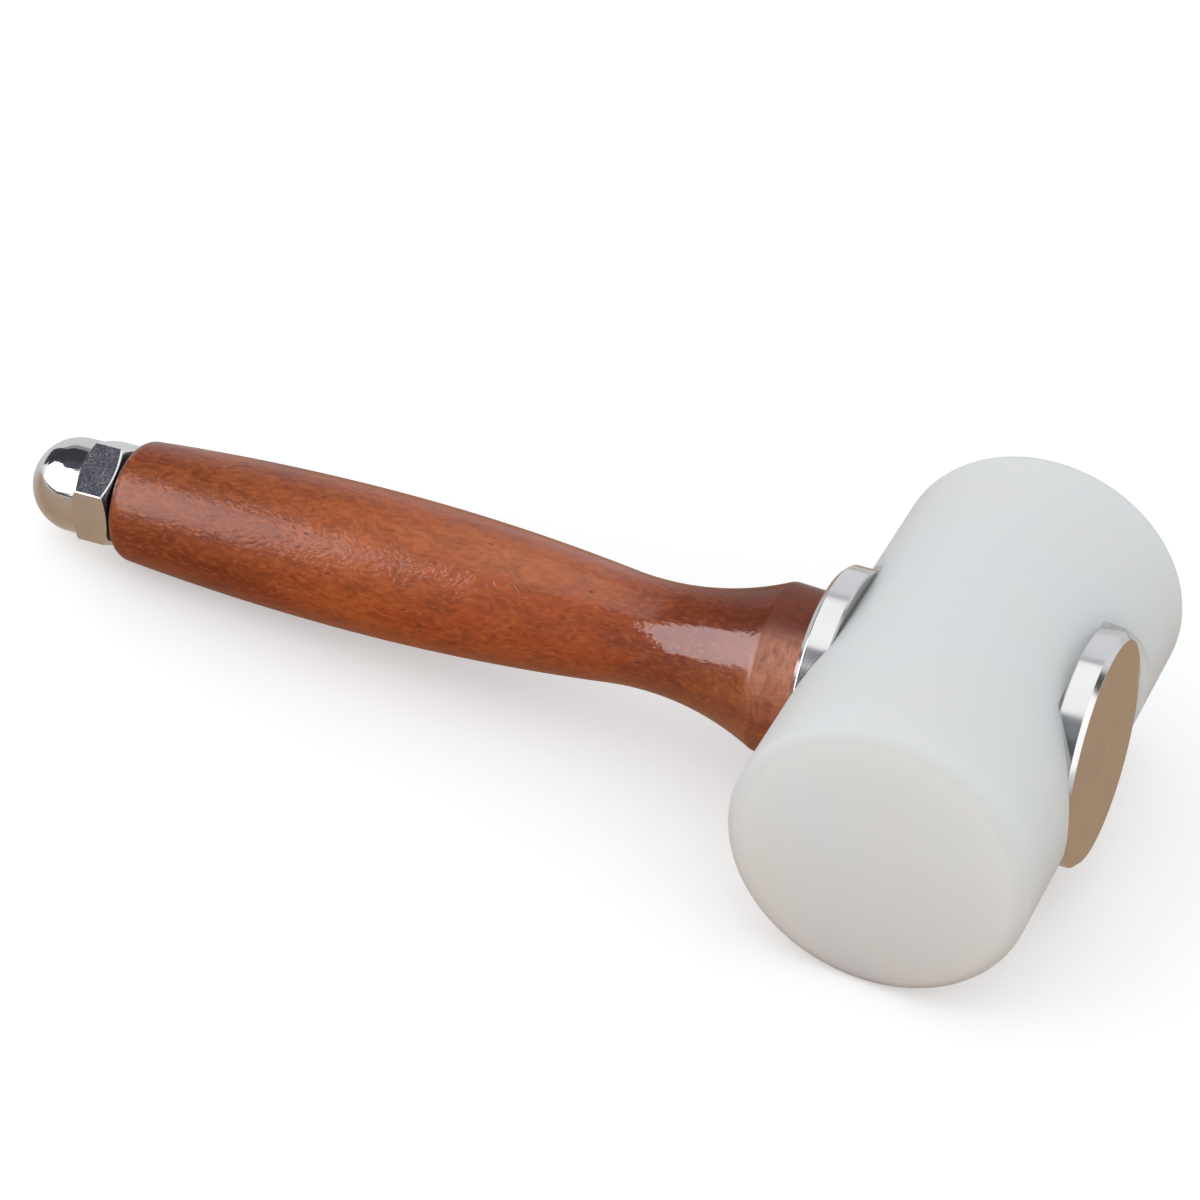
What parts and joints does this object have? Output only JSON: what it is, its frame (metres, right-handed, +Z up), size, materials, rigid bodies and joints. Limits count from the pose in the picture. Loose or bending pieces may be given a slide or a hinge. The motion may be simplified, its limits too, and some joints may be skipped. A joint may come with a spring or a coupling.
{
  "type": "leathercraft mallet",
  "caption": "Mallet with a cylindrical nylon head clamped between steel discs on a turned wooden handle with a dome nut at the butt.",
  "frame": {"origin": "on the ground under the middle of the mallet's bounding box, with the mallet lying on its head and its dome nut", "axes": "+X from the butt towards the head, +Y along the head towards its rear striking face, +Z up"},
  "size_m": [0.195, 0.0824, 0.05],
  "materials": {
    "nylon": "milky, satin",
    "disc_steel": "polished",
    "varnished_wood": "semi-gloss varnish",
    "rod_steel": "plain",
    "nut_chrome": "bright plated"
  },
  "bodies": {
    "root": {"nylon_head": "nylon", "handle_disc": "disc_steel", "top_disc": "disc_steel", "wood_handle": "varnished_wood", "tie_rod": "rod_steel", "dome_nut": "nut_chrome"}
  },
  "joints": []
}
